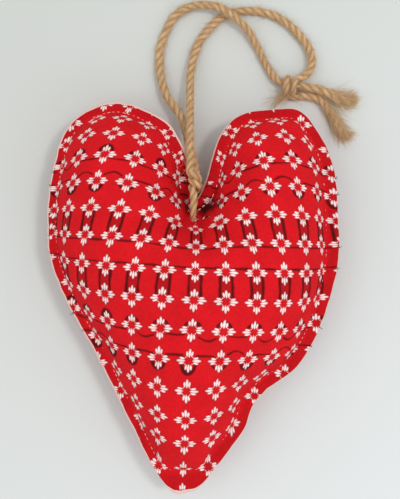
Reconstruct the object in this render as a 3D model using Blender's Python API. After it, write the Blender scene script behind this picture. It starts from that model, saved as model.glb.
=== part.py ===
"""A stuffed cloth heart with a loop of jute twine, lying on its back.

Two panels of printed cotton are sewn together along a seam and stuffed. Outside the seam
the two layers lie flat on each other and end in a raw edge. The twine goes through the
heart below the cleft, its two legs are hitched once around each other over the cleft's
edge, and its ends are tied together, which makes the loop that the heart hangs by.

Metres, +Z up out of the front panel and +Y towards the lobes. The origin is on the
resting surface, under the middle of the heart.
"""
import math

import bmesh
import bpy
import numpy as np
from mathutils import Vector
from mathutils.geometry import delaunay_2d_cdt

# The heart
HEART_WIDTH = 0.1104
HEART_HEIGHT = 0.1473
FRONT_RISE = 0.026  # the front panel's highest swell over the seam
BACK_SWELL = 0.021  # the back panel's, before the resting surface flattens it
SEAM_HEIGHT = 0.019  # from the resting surface
SWELL_RUN = 0.018  # how far in from the seam the stuffing fills out
CLOTH = 0.0005
SEAM_ALLOWANCE = 0.0038  # from the raw edge to the seam
TIP_TAB = 0.0086  # cloth left below the seam where it turns across the tip

# The twine and the hole that it goes through
TWINE = 0.0032
TWINE_HOLE = (-0.0003, 0.0293)
HOLE_PULL = 0.55  # share of the swell that the pulled twine takes away at the hole
HOLE_REACH = 0.006
DIMPLE_RINGS = (0.35, 0.7)  # rings of points round the hole, as shares of its reach
DIMPLE_POINTS = 12  # on each ring
LEG_START = 0.0008  # from the panel to the end of a leg, which clears the dimple's rim
HITCH_FOOT = (0.0010, 0.0406, 0.0226)
HITCH_HEAD = (0.0003, 0.0465, 0.0244)
HITCH_ANGLE = 135  # degrees up from +X at the foot, for the front leg
HITCH_TIGHT = 0.84  # the legs' distance from the hitch's axis at its middle, in radii
HITCH_OPEN = 1.19  # the same at its two ends
BACK_LEG_JOINS = 0.25  # the share of the turn where the back leg comes up beside it
HITCH_END = 0.0028  # how far past the hitch's head its two legs still belong to it
KNOT_CENTRE = (0.0402, 0.0833, 0.0035)
KNOT_HALF = (0.0035, 0.0040, 0.0034)

# Fits and mesh density
GAP = 0.0003  # between pieces that touch
OUTLINE_POINTS = 132
PANEL_GRID = 0.0045
SEAM_CLEAR = 0.0015  # from the seam to the panel's nearest inner points
CURVE_STEPS = 40  # from one point of an outline or a route to the next
CORD_STEP = 2.2  # twine diameters from one ring of a tube to the next
HITCH_STEP = 0.4  # the same where the twine turns tightly

# The raw edge, clockwise from the cleft over the left lobe, on a heart of 110.4 by
# 147.3 mm: x and y in mm from its middle, and the allowance there as a share
HEART_OUTLINE = [
    (1.3, 37.0, 1.2), (-0.3, 40.8, 1.15), (-1.2, 45.8, 1.1), (-3.7, 55.3, 1.05),
    (-6.6, 61.1, 1.0), (-9.9, 66.0, 0.95), (-15.6, 69.5, 0.9), (-26.0, 73.6, 0.9),
    (-33.4, 73.5, 0.9), (-41.6, 70.1, 0.9), (-49.0, 62.3, 0.8), (-52.3, 52.0, 0.8),
    (-54.6, 39.7, 0.8), (-55.2, 31.4, 0.8), (-54.2, 15.4, 0.8), (-50.2, 3.8, 0.8),
    (-43.7, -9.0, 0.8), (-37.9, -18.8, 0.8), (-31.2, -32.1, 0.8), (-22.5, -49.6, 0.8),
    (-16.0, -62.7, 0.8), (-9.0, -72.4, 0.9), (-5.5, -73.6, 1.0), (-2.4, -73.2, 1.1),
    (1.9, -71.9, 1.2), (9.8, -62.7, 1.2), (19.4, -49.7, 1.2), (22.8, -40.5, 1.2),
    (28.8, -34.2, 1.2), (37.5, -28.0, 1.2), (45.0, -18.0, 1.2), (50.7, -4.0, 1.2),
    (55.0, 12.5, 1.3), (55.2, 30.8, 1.3), (53.2, 50.5, 1.2), (49.3, 60.0, 1.1),
    (42.3, 69.7, 1.0), (38.4, 71.8, 1.0), (31.9, 71.8, 1.0), (17.5, 69.2, 1.0),
    (10.9, 62.2, 1.1), (7.4, 52.6, 1.1), (5.5, 45.3, 1.1), (3.2, 39.7, 1.15),
]

# Routes of the twine's middle, in mm. The legs start at the holes, the strands at the
# hitch's head, and the tails at the knot.
FRONT_LEG = [(-0.2, 31.4, 25.0), (0.0, 33.7, 25.7), (0.1, 37.0, 25.0)]
BACK_LEG = [
    (-0.2, 31.2, 13.5), (0.2, 34.0, 12.5), (0.9, 37.2, 13.0), (1.6, 40.3, 14.8),
    (1.9, 41.9, 17.4), (1.9, 41.9, 19.8), (2.3, 41.8, 21.9),
]
RIGHT_STRAND = [
    (-1.2, 51.9, 22.0), (-1.4, 57.2, 18.8), (-1.5, 64.2, 14.8), (-1.5, 72.7, 10.8),
    (-1.5, 80.3, 7.6), (-1.3, 88.0, 5.0), (0.0, 95.2, 3.2), (2.4, 101.9, 2.1),
    (6.8, 107.6, 1.7), (10.8, 111.3, 1.65), (15.3, 113.4, 1.65), (22.9, 114.1, 1.7),
    (31.1, 112.5, 1.8), (38.3, 108.2, 1.9), (43.4, 103.0, 2.0), (46.4, 97.8, 2.4),
    (47.2, 93.2, 3.2), (46.0, 88.7, 4.6),
]
LEFT_STRAND = [
    (-0.3, 52.3, 18.2), (-1.3, 57.3, 14.6), (-2.7, 62.8, 11.4), (-4.0, 68.1, 9.0),
    (-6.7, 73.3, 7.0), (-10.5, 78.8, 5.2), (-13.0, 86.0, 3.4), (-13.8, 92.7, 2.2),
    (-13.4, 99.2, 1.7), (-11.9, 104.2, 1.7), (-7.2, 112.3, 2.0), (-1.2, 115.4, 2.9),
    (5.4, 115.6, 4.3), (10.0, 114.5, 5.1), (14.0, 112.1, 5.4), (17.6, 109.5, 4.8),
    (21.8, 105.5, 3.4), (25.4, 99.4, 2.2), (29.0, 92.3, 1.9), (32.3, 87.2, 2.2),
    (36.0, 84.5, 3.0),
]
UPPER_TAIL = [
    (44.4, 83.6, 3.6), (47.2, 83.0, 3.4), (50.4, 82.0, 3.2), (53.7, 80.6, 2.8),
    (57.0, 79.2, 2.3), (61.0, 78.2, 1.9), (65.5, 77.7, 1.7),
]
LOWER_TAIL = [
    (42.8, 80.0, 1.9), (45.8, 78.4, 1.7), (48.6, 77.4, 1.7), (51.2, 75.6, 1.7),
    (53.6, 73.0, 1.7), (56.2, 70.0, 1.7), (58.3, 66.2, 1.7), (60.7, 62.6, 1.7),
]

for old in list(bpy.data.objects):
    bpy.data.objects.remove(old, do_unlink=True)


def material(name, hex_colour, roughness):
    """A Principled BSDF with a plain sRGB colour."""
    made = bpy.data.materials.new(name)
    made.use_nodes = True
    shader = made.node_tree.nodes["Principled BSDF"]
    channels = [int(hex_colour[i : i + 2], 16) / 255 for i in (0, 2, 4)]
    linear = [((c + 0.055) / 1.055) ** 2.4 if c > 0.04 else c / 12.92 for c in channels]
    shader.inputs["Base Color"].default_value = (*linear, 1)
    shader.inputs["Roughness"].default_value = roughness
    return made


def smooth_curve(points, closed=False):
    """A centripetal Catmull-Rom curve through the points. An open curve gets a mirrored
    point past each end."""
    p = np.array(points, float)
    if closed:
        p = np.vstack([p[-1:], p, p[:2]])
    else:
        p = np.vstack([2 * p[:1] - p[1:2], p, 2 * p[-1:] - p[-2:-1]])
    before, start, end, after = p[:-3], p[1:-2], p[2:-1], p[3:]
    axes = slice(0, 2 if closed else 3)
    root = [
        np.sqrt(np.linalg.norm((b - a)[:, axes], axis=1))[:, None]
        for a, b in ((before, start), (start, end), (end, after))
    ]
    leave = (start - before) / root[0] - (end - before) / (root[0] + root[1])
    leave = (leave + (end - start) / root[1]) * root[1]
    arrive = (end - start) / root[1] - (after - start) / (root[1] + root[2])
    arrive = (arrive + (after - end) / root[2]) * root[1]
    t = (np.arange(CURVE_STEPS) / CURVE_STEPS)[:, None, None]
    curve = (2 * t**3 - 3 * t**2 + 1) * start + (t**3 - 2 * t**2 + t) * leave
    curve = curve + (3 * t**2 - 2 * t**3) * end + (t**3 - t**2) * arrive
    curve = curve.transpose(1, 0, 2).reshape(-1, p.shape[1])
    return curve if closed else np.vstack([curve, p[-2:-1]])


def evenly(points, count, closed=False):
    """Points at even steps of length along a fine polyline."""
    p = np.vstack([points, points[:1]]) if closed else np.asarray(points)
    axes = slice(0, 2 if closed else 3)
    run = np.linalg.norm(np.diff(p[:, axes], axis=0), axis=1)
    along = np.concatenate([[0], np.cumsum(run)])
    wanted = np.linspace(0, along[-1], count, endpoint=not closed)
    return np.stack([np.interp(wanted, along, p[:, k]) for k in range(p.shape[1])], 1)


def heart_loops():
    """The raw edge and the seam as two closed loops of points. The seam lies inside the
    edge by the local allowance and turns straight across the tip."""
    curve = smooth_curve(HEART_OUTLINE, closed=True)
    low, high = curve[:, :2].min(0), curve[:, :2].max(0)
    curve[:, :2] -= (low + high) / 2
    curve[:, :2] *= np.array([HEART_WIDTH, HEART_HEIGHT]) / (high - low)
    edge = evenly(curve, OUTLINE_POINTS, closed=True)
    along = np.roll(edge[:, :2], -1, 0) - np.roll(edge[:, :2], 1, 0)
    inward = np.stack([-along[:, 1], along[:, 0]], 1) / np.linalg.norm(along, axis=1)[:, None]
    edge, share = edge[:, :2], edge[:, 2:]
    if (inward * edge).sum() > 0:
        inward = -inward
    seam = edge + inward * share * SEAM_ALLOWANCE
    seam[:, 1] = np.maximum(seam[:, 1], edge[:, 1].min() + TIP_TAB)
    return edge, seam


def depth_inside(points, loop):
    """A smooth distance in from a closed loop: near the loop it is the plain distance,
    and further in it has no ridges. It comes from the inverse cubes of the distances
    to every piece of the loop."""
    ahead = np.roll(loop, -1, 0)
    length = np.linalg.norm(ahead - loop, axis=1)
    apart = np.linalg.norm(points[:, None] - ((loop + ahead) / 2)[None], axis=2)
    return (0.5 * (length / np.maximum(apart, 1e-6) ** 3).sum(1)) ** -0.5


def inside(points, loop):
    """True for each point that lies inside the closed loop, by counting crossings."""
    x, y = points[:, :1], points[:, 1:]
    ax, ay = loop[:, 0], loop[:, 1]
    bx, by = np.roll(ax, -1), np.roll(ay, -1)
    level = (ay > y) != (by > y)
    crossing = ax + (y - ay) * (bx - ax) / np.where(by == ay, 1e-12, by - ay)
    return (level & (x < crossing)).sum(1) % 2 == 1


EDGE, SEAM = heart_loops()
FINE_SEAM = evenly(SEAM, 4 * OUTLINE_POINTS, closed=True)
across = np.arange(-HEART_WIDTH / 2, HEART_WIDTH / 2, PANEL_GRID)
upward = np.arange(-HEART_HEIGHT / 2, HEART_HEIGHT / 2, PANEL_GRID * math.sqrt(0.75))
grid = np.array([(x + (i % 2) * PANEL_GRID / 2, y) for i, y in enumerate(upward) for x in across])
hole = np.array(TWINE_HOLE)
turn = np.linspace(0, 2 * np.pi, DIMPLE_POINTS, endpoint=False)
ring = HOLE_REACH * np.stack([np.cos(turn), np.sin(turn)], 1)
dimple = [hole + share * ring for share in DIMPLE_RINGS]
grid = grid[np.linalg.norm(grid - hole, axis=1) > HOLE_REACH]
grid = np.vstack([grid, [hole], *dimple])
grid = grid[inside(grid, SEAM)]
GRID = grid[depth_inside(grid, FINE_SEAM) > SEAM_CLEAR]
PEAK = 1 - math.exp(-depth_inside(GRID, FINE_SEAM).max() / SWELL_RUN)


def swell(points):
    """How far the stuffing lifts a panel off the seam's plane at each point, from 0 at
    the seam to 1 at the highest place, less the dimple that the twine pulls."""
    share = (1 - np.exp(-depth_inside(points, FINE_SEAM) / SWELL_RUN)) / PEAK
    from_hole = np.linalg.norm(points - hole, axis=1)
    return share * (1 - HOLE_PULL * np.exp(-((from_hole / HOLE_REACH) ** 2)))


def panel_height(points, front):
    """The height of a panel's outer surface at each point."""
    if front:
        return SEAM_HEIGHT + GAP / 2 + CLOTH + FRONT_RISE * swell(points)
    return np.maximum(SEAM_HEIGHT - GAP / 2 - CLOTH - BACK_SWELL * swell(points), 0)


def add_panel(name, front, finish):
    """One sewn panel with its half of the stuffing: a flat face at the seam's plane, a
    thin flat border out to the raw edge, and the swelling inside the seam."""
    flat = [Vector(p) for p in np.vstack([EDGE, SEAM, GRID])]
    count = len(EDGE)
    seam_edges = [(count + i, count + (i + 1) % count) for i in range(count)]
    outer = list(range(count))
    spots, _, faces, _, _, _ = delaunay_2d_cdt(flat, seam_edges, [outer], 1, 1e-7)
    spots = np.array([tuple(s) for s in spots])
    top = panel_height(spots, front)
    on_border = ~inside(spots, SEAM) | (depth_inside(spots, FINE_SEAM) < SEAM_CLEAR / 10)
    side = 1 if front else -1
    top[on_border] = SEAM_HEIGHT + side * (GAP / 2 + CLOTH)
    mesh = bmesh.new()
    outside_verts = [mesh.verts.new((x, y, z)) for (x, y), z in zip(spots, top)]
    mating_verts = [mesh.verts.new((x, y, SEAM_HEIGHT + side * GAP / 2)) for x, y in EDGE]
    for face in faces:
        mesh.faces.new([outside_verts[i] for i in face])
    nearest = [int(np.abs(spots - p).sum(1).argmin()) for p in EDGE]
    for i in range(count):
        j = (i + 1) % count
        ring = outside_verts[nearest[i]], outside_verts[nearest[j]], mating_verts[j], mating_verts[i]
        mesh.faces.new(ring)
    mesh.faces.new(mating_verts)
    bmesh.ops.recalc_face_normals(mesh, faces=mesh.faces[:])
    data = bpy.data.meshes.new(name)
    mesh.to_mesh(data)
    mesh.free()
    data.shade_smooth()
    data.set_sharp_from_angle(angle=math.radians(35))
    data.materials.append(finish)
    made = bpy.data.objects.new(name, data)
    bpy.context.collection.objects.link(made)
    return made


def leg_start(front):
    """The first two points of a leg: just off its panel at the hole, and further out
    along the panel's normal there."""
    step = TWINE / 8
    at, east, north = panel_height(hole + np.array([(0, 0), (step, 0), (0, step)]), front)
    normal = np.array([at - east, at - north, step]) * (1 if front else -1)
    normal /= np.linalg.norm(normal)
    off = np.array([[LEG_START], [LEG_START + TWINE / 3]])
    return np.array([*hole, at]) + normal * off


def hitch_turn(angle, first=0.0):
    """One leg's way through the hitch, from a share of its length to its head: a full
    turn around the hitch's axis from the angle at its foot, tighter in the middle."""
    share = np.linspace(first, 1, 9)
    angle = math.radians(angle) + 2 * math.pi * share
    off = TWINE / 2 * (HITCH_TIGHT + (HITCH_OPEN - HITCH_TIGHT) * (2 * share - 1) ** 2)
    foot, head = np.array(HITCH_FOOT), np.array(HITCH_HEAD)
    axis = foot + (head - foot) * share[:, None]
    return axis + np.stack([off * np.cos(angle), np.zeros(len(off)), off * np.sin(angle)], 1)


def millimetres(points):
    return np.array(points) / 1000


def in_knot(points):
    """True for each point inside the knot or closer to it than the gap."""
    reach = np.array(KNOT_HALF) + GAP
    return np.linalg.norm((points - np.array(KNOT_CENTRE)) / reach, axis=1) < 1


def add_tube(name, points, finish, step=CORD_STEP):
    """A round tube along a fine polyline, as a curve with a bevel and closed ends."""
    length = np.linalg.norm(np.diff(points, axis=0), axis=1).sum()
    points = evenly(points, max(4, round(length / (step * TWINE)) + 1))
    data = bpy.data.curves.new(name, "CURVE")
    data.dimensions = "3D"
    data.bevel_depth = TWINE / 2
    data.bevel_resolution = 2
    data.use_fill_caps = True
    line = data.splines.new("POLY")
    line.points.add(len(points) - 1)
    line.points.foreach_set("co", np.column_stack([points, np.ones(len(points))]).ravel())
    data.materials.append(finish)
    made = bpy.data.objects.new(name, data)
    bpy.context.collection.objects.link(made)
    return made


def as_mesh(curve, name):
    """A mesh object in place of a curve object."""
    bpy.context.view_layer.update()
    seen = curve.evaluated_get(bpy.context.evaluated_depsgraph_get())
    made = bpy.data.objects.new(name, bpy.data.meshes.new_from_object(seen))
    bpy.context.collection.objects.link(made)
    bpy.data.objects.remove(curve, do_unlink=True)
    return made


def add_hitch(name, first, second, finish):
    """The two legs and their turn around each other, as one solid."""
    made = as_mesh(add_tube("first leg", first, finish, HITCH_STEP), name)
    other = as_mesh(add_tube("second leg", second, finish, HITCH_STEP), f"{name}_second_leg")
    other.hide_render = True
    other.display_type = "WIRE"
    join = made.modifiers.new("join the legs", "BOOLEAN")
    join.operation = "UNION"
    join.solver = "EXACT"
    join.object = other
    return made


def add_knot(name, finish):
    """The knot's outer shape, a squat lump."""
    mesh = bmesh.new()
    bmesh.ops.create_uvsphere(mesh, u_segments=16, v_segments=10, radius=1)
    bmesh.ops.scale(mesh, vec=KNOT_HALF, verts=mesh.verts)
    data = bpy.data.meshes.new(name)
    mesh.to_mesh(data)
    mesh.free()
    data.shade_smooth()
    data.materials.append(finish)
    made = bpy.data.objects.new(name, data)
    made.location = KNOT_CENTRE
    bpy.context.collection.objects.link(made)
    return made


def add_twine(finish):
    """The whole twine: its hitch, two strands, the knot and two tails."""
    starts = [
        [*leg_start(True), *millimetres(FRONT_LEG), *hitch_turn(HITCH_ANGLE)],
        [
            *leg_start(False), *millimetres(BACK_LEG),
            *hitch_turn(HITCH_ANGLE - 180, BACK_LEG_JOINS),
        ],
    ]
    hitched = []
    for name, start, strand in zip(
        ("twine_right_strand", "twine_left_strand"), starts, (RIGHT_STRAND, LEFT_STRAND)
    ):
        fine = smooth_curve([*start, *millimetres(strand), KNOT_CENTRE])
        run = np.concatenate([[0], np.cumsum(np.linalg.norm(np.diff(fine, axis=0), axis=1))])
        end = run[CURVE_STEPS * (len(start) - 1)] + HITCH_END
        hitched.append(fine[run <= end])
        add_tube(name, fine[(run >= end + GAP) & ~in_knot(fine)], finish)
    add_hitch("twine_hitch", *hitched, finish)
    add_knot("twine_knot", finish)
    for name, tail in (("twine_upper_tail", UPPER_TAIL), ("twine_lower_tail", LOWER_TAIL)):
        fine = smooth_curve([KNOT_CENTRE, *millimetres(tail)])
        add_tube(name, fine[~in_knot(fine)], finish)


front_cotton = material("printed red cotton, front", "D8161F", 0.85)
back_cotton = material("printed red cotton, back", "C8141C", 0.85)
jute = material("jute twine", "C49A66", 0.9)
add_panel("front_panel", True, front_cotton)
add_panel("back_panel", False, back_cotton)
add_twine(jute)
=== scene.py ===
# %% [markdown]
# # A stuffed cotton heart on a loop of jute twine
#
# The real object is a small hanging ornament: two hearts cut from printed cotton, sewn
# together with a machine stitch, stuffed, and hung from one length of jute twine. This
# lesson builds it the same way. The cloth is a flat pattern that is laid over the stuffed
# form and simulated, the stitches and the twine are surfaces worked out from formulas,
# and the print and the weave are shader nodes. Lengths are in metres unless a line says
# millimetres, +Z is up from the table and +Y runs towards the lobes.

import math

import bpy
import numpy as np
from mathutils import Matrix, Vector
from mathutils.geometry import delaunay_2d_cdt


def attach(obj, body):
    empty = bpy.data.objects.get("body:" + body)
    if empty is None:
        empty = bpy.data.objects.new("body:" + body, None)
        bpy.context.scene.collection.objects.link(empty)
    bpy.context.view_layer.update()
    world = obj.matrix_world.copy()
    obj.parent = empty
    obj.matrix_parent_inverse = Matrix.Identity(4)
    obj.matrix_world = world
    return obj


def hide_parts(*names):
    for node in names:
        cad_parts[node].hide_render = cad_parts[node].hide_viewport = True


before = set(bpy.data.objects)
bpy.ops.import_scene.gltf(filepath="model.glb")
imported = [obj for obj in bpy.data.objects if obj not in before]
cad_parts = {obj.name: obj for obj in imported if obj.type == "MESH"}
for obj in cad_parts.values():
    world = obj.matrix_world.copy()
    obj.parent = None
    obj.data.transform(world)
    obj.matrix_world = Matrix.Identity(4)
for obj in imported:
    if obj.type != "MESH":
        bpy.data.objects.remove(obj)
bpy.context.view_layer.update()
scene = bpy.context.scene
scene.view_settings.view_transform = "Standard"
print("CAD nodes:", sorted(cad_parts))


# %% [markdown]
# The camera looks straight down from a little over 30 cm, as someone would hold a phone
# over a table. So near, the middle of the heart, which stands higher, looks larger than
# its edge, and that perspective is part of the picture.

# %% The camera
CAMERA_OVER = (0.0024, 0.0182)
CAMERA_HEIGHT = 0.319
PICTURE_LONG_SIDE = 0.1896  # seen at the seam's height
SEAM_HEIGHT = 0.019

lens = bpy.data.cameras.new("camera over the table")
lens.sensor_width = 36
lens.lens = 36 * (CAMERA_HEIGHT - SEAM_HEIGHT) / PICTURE_LONG_SIDE
camera = bpy.data.objects.new("camera over the table", lens)
camera.location = (*CAMERA_OVER, CAMERA_HEIGHT)
scene.collection.objects.link(camera)
scene.camera = camera
print("camera lens:", round(lens.lens, 1), "mm")


# %% [markdown]
# Three small helpers serve every piece. Colours are written as sRGB hex values, which
# Blender's shaders want as linear light. One function adds a shader node with its
# settings and inputs. One function puts arrays of points and faces into a mesh with its
# material, and hangs the piece on the root body.

# %% Helpers
def linear(hex_colour):
    """sRGB hex to linear RGBA: ((c + 0.055) / 1.055) to the power 2.4, c / 12.92 if dark."""
    channels = [int(hex_colour[i : i + 2], 16) / 255 for i in (0, 2, 4)]
    return (*[((c + 0.055) / 1.055) ** 2.4 if c > 0.04 else c / 12.92 for c in channels], 1)


def add_node(tree, kind, inputs=(), **settings):
    """Adds a shader node. inputs is a list by position or a dict by name, of sockets
    to link and plain values."""
    made = tree.nodes.new("ShaderNode" + kind)
    for name, value in settings.items():
        setattr(made, name, value)
    for key, value in inputs.items() if isinstance(inputs, dict) else enumerate(inputs):
        if isinstance(value, bpy.types.NodeSocket):
            tree.links.new(value, made.inputs[key])
        else:
            made.inputs[key].default_value = value
    return made


def new_material(name, roughness, specular=0.5, colour="FFFFFF"):
    """A material of one colour, its tree and its Principled BSDF."""
    made = bpy.data.materials.new(name)
    made.use_nodes = True
    shader = made.node_tree.nodes["Principled BSDF"]
    shader.inputs["Roughness"].default_value = roughness
    shader.inputs["Specular IOR Level"].default_value = specular
    shader.inputs["Base Color"].default_value = linear(colour)
    return made, made.node_tree, shader


def paint(piece, name, values):
    """Stores a number for each point, which a material reads by its name."""
    piece.data.attributes.new(name, "FLOAT", "POINT").data.foreach_set("value", values)


def put_mesh(name, points, faces, finish, slot, uv=None, smooth=True):
    """A piece from an array of points and lists of faces. uv holds a pair for every
    corner of every face, in order."""
    data = bpy.data.meshes.new(name)
    data.from_pydata(np.asarray(points).tolist(), [], [list(map(int, f)) for f in faces])
    if uv is not None:
        layer = data.uv_layers.new(name="UVMap")
        layer.uv.foreach_set("vector", np.asarray(uv, np.float32).ravel())
    if smooth:
        data.shade_smooth()
    data.materials.append(finish)
    made = bpy.data.objects.new(name, data)
    scene.collection.objects.link(made)
    if slot:
        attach(made, "root")
    return made


def vertex_array(data):
    """A mesh's points as an array."""
    flat = np.empty(3 * len(data.vertices))
    data.vertices.foreach_get("co", flat)
    return flat.reshape(-1, 3)


# %% [markdown]
# The heart was cut by hand, so its outline has flats and small corners, and it is not
# the same on both sides. A closed curve through listed points keeps that, where a
# formula for a perfect heart would lose it. The seam runs inside the edge, by a width
# that the maker didn't hold quite even, and turns straight across the tip.

# %% The outline and the seam
HEART_WIDTH = 0.1104
HEART_HEIGHT = 0.1473
SEAM_ALLOWANCE = 0.0038
TIP_TAB = 0.0086
OUTLINE_POINTS = 132
CURVE_STEPS = 40

HEART_OUTLINE = [
    (1.3, 37.0, 1.2), (-0.3, 40.8, 1.15), (-1.2, 45.8, 1.1), (-3.7, 55.3, 1.05),
    (-6.6, 61.1, 1.0), (-9.9, 66.0, 0.95), (-15.6, 69.5, 0.9), (-26.0, 73.6, 0.9),
    (-33.4, 73.5, 0.9), (-41.6, 70.1, 0.9), (-49.0, 62.3, 0.8), (-52.3, 52.0, 0.8),
    (-54.6, 39.7, 0.8), (-55.2, 31.4, 0.8), (-54.2, 15.4, 0.8), (-50.2, 3.8, 0.8),
    (-43.7, -9.0, 0.8), (-37.9, -18.8, 0.8), (-31.2, -32.1, 0.8), (-22.5, -49.6, 0.8),
    (-16.0, -62.7, 0.8), (-9.0, -72.4, 0.9), (-5.5, -73.6, 1.0), (-2.4, -73.2, 1.1),
    (1.9, -71.9, 1.2), (9.8, -62.7, 1.2), (19.4, -49.7, 1.2), (22.8, -40.5, 1.2),
    (28.8, -34.2, 1.2), (37.5, -28.0, 1.2), (45.0, -18.0, 1.2), (50.7, -4.0, 1.2),
    (55.0, 12.5, 1.3), (55.2, 30.8, 1.3), (53.2, 50.5, 1.2), (49.3, 60.0, 1.1),
    (42.3, 69.7, 1.0), (38.4, 71.8, 1.0), (31.9, 71.8, 1.0), (17.5, 69.2, 1.0),
    (10.9, 62.2, 1.1), (7.4, 52.6, 1.1), (5.5, 45.3, 1.1), (3.2, 39.7, 1.15),
]


def smooth_curve(points, closed=False):
    """A centripetal Catmull-Rom curve: between two points, a cubic whose ends lean the
    way the curve runs through each."""
    p = np.array(points, float)
    if closed:
        p = np.vstack([p[-1:], p, p[:2]])
    else:
        p = np.vstack([2 * p[:1] - p[1:2], p, 2 * p[-1:] - p[-2:-1]])
    before, start, end, after = p[:-3], p[1:-2], p[2:-1], p[3:]
    axes = slice(0, 2 if closed else 3)
    root = [
        np.sqrt(np.linalg.norm((b - a)[:, axes], axis=1))[:, None]
        for a, b in ((before, start), (start, end), (end, after))
    ]
    leave = (start - before) / root[0] - (end - before) / (root[0] + root[1])
    leave = (leave + (end - start) / root[1]) * root[1]
    arrive = (end - start) / root[1] - (after - start) / (root[1] + root[2])
    arrive = (arrive + (after - end) / root[2]) * root[1]
    t = (np.arange(CURVE_STEPS) / CURVE_STEPS)[:, None, None]
    curve = (2 * t**3 - 3 * t**2 + 1) * start + (t**3 - 2 * t**2 + t) * leave
    curve = curve + (3 * t**2 - 2 * t**3) * end + (t**3 - t**2) * arrive
    curve = curve.transpose(1, 0, 2).reshape(-1, p.shape[1])
    return curve if closed else np.vstack([curve, p[-2:-1]])


def evenly(points, count, closed=False):
    """Points at even steps of length along a fine polyline."""
    p = np.vstack([points, points[:1]]) if closed else np.asarray(points)
    axes = slice(0, 2 if closed else 3)
    run = np.linalg.norm(np.diff(p[:, axes], axis=0), axis=1)
    along = np.concatenate([[0], np.cumsum(run)])
    wanted = np.linspace(0, along[-1], count, endpoint=not closed)
    return np.stack([np.interp(wanted, along, p[:, k]) for k in range(p.shape[1])], 1)


def inward_from(loop):
    """Unit vectors across a closed loop of points, towards its inside."""
    along = np.roll(loop, -1, 0) - np.roll(loop, 1, 0)
    across = np.stack([-along[:, 1], along[:, 0]], 1)
    across /= np.linalg.norm(across, axis=1)[:, None]
    return -across if (across * loop).sum() > 0 else across


def heart_loops():
    """The raw edge and the seam: the seam is the edge moved inwards by the local
    allowance, and held above a line across the tip."""
    curve = smooth_curve(HEART_OUTLINE, closed=True)
    low, high = curve[:, :2].min(0), curve[:, :2].max(0)
    curve[:, :2] -= (low + high) / 2
    curve[:, :2] *= np.array([HEART_WIDTH, HEART_HEIGHT]) / (high - low)
    edge = evenly(curve, OUTLINE_POINTS, closed=True)
    share, edge = edge[:, 2:], edge[:, :2]
    seam = edge + inward_from(edge) * share * SEAM_ALLOWANCE
    seam[:, 1] = np.maximum(seam[:, 1], edge[:, 1].min() + TIP_TAB)
    return edge, seam


RIM_POINTS = 384  # about 1.2 mm apart
edge_loop, seam_loop = heart_loops()
EDGE = evenly(smooth_curve(edge_loop, closed=True), RIM_POINTS, closed=True)
SEAM = np.stack(
    [np.interp(np.linspace(0, OUTLINE_POINTS, RIM_POINTS, endpoint=False),
               np.arange(OUTLINE_POINTS + 1), np.append(seam_loop[:, k], seam_loop[0, k]))
     for k in (0, 1)], 1)
FINE_SEAM = evenly(seam_loop, 4 * OUTLINE_POINTS, closed=True)
seam_steps = np.linalg.norm(np.roll(SEAM, -1, 0) - SEAM, axis=1)
SEAM_RUN = np.concatenate([[0], np.cumsum(seam_steps)[:-1]])
SEAM_LENGTH = seam_steps.sum()
print("seam length:", round(1000 * SEAM_LENGTH), "mm")


# %% [markdown]
# Stuffing pushes each panel out into a pillow. Near the seam the cloth rises steeply, at
# about 60 degrees, and the middle is broad and round. The distance from the seam gives
# that form, but the plain distance has a sharp ridge in the middle of the heart. The
# inverse cubes of the distances to every bit of the seam, summed up, give a distance
# without ridges.

# %% The stuffed form
FRONT_RISE = 0.026
BACK_SWELL = 0.021
SWELL_RUN = 0.018
CLOTH = 0.0005
GAP = 0.0003
TWINE_HOLE = np.array([-0.0003, 0.0293])
HOLE_PULL = 0.55
HOLE_REACH = 0.006


def depth_inside(points, loop):
    """(half the sum of length / distance cubed over the loop) to the power -1/2."""
    ahead = np.roll(loop, -1, 0)
    length = np.linalg.norm(ahead - loop, axis=1)
    apart = np.linalg.norm(points[:, None] - ((loop + ahead) / 2)[None], axis=2)
    return (0.5 * (length / np.maximum(apart, 1e-6) ** 3).sum(1)) ** -0.5


def inside(points, loop):
    """True where a line to the right crosses the loop an odd number of times."""
    x, y = points[:, :1], points[:, 1:]
    ax, ay = loop[:, 0], loop[:, 1]
    bx, by = np.roll(ax, -1), np.roll(ay, -1)
    level = (ay > y) != (by > y)
    crossing = ax + (y - ay) * (bx - ax) / np.where(by == ay, 1e-12, by - ay)
    return (level & (x < crossing)).sum(1) % 2 == 1


probe = np.stack(np.meshgrid(np.linspace(-0.02, 0.02, 41), np.linspace(-0.02, 0.04, 61)), -1)
PEAK = 1 - math.exp(-depth_inside(probe.reshape(-1, 2), FINE_SEAM).max() / SWELL_RUN)


def swell(points):
    """(1 - exp(-depth / run)) / its peak, less the dimple that the twine pulls."""
    share = (1 - np.exp(-depth_inside(points, FINE_SEAM) / SWELL_RUN)) / PEAK
    from_hole = np.linalg.norm(points - TWINE_HOLE, axis=1)
    return share * (1 - HOLE_PULL * np.exp(-((from_hole / HOLE_REACH) ** 2)))


def panel_height(points, front):
    """The height of a panel's outer surface. The back is flat where it rests."""
    if front:
        return SEAM_HEIGHT + GAP / 2 + CLOTH + FRONT_RISE * swell(points)
    return np.maximum(SEAM_HEIGHT - GAP / 2 - CLOTH - BACK_SWELL * swell(points), 0)


# %% [markdown]
# The panel's mesh is a net of small triangles: rings of points along the raw edge and
# the seam, closer rings just inside the seam, where the cloth bends most, and an even
# grid of points over the middle, which is finer round the cleft, where the twine gathers
# the cloth. Constrained Delaunay triangulation joins them and keeps the seam as edges.

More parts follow.
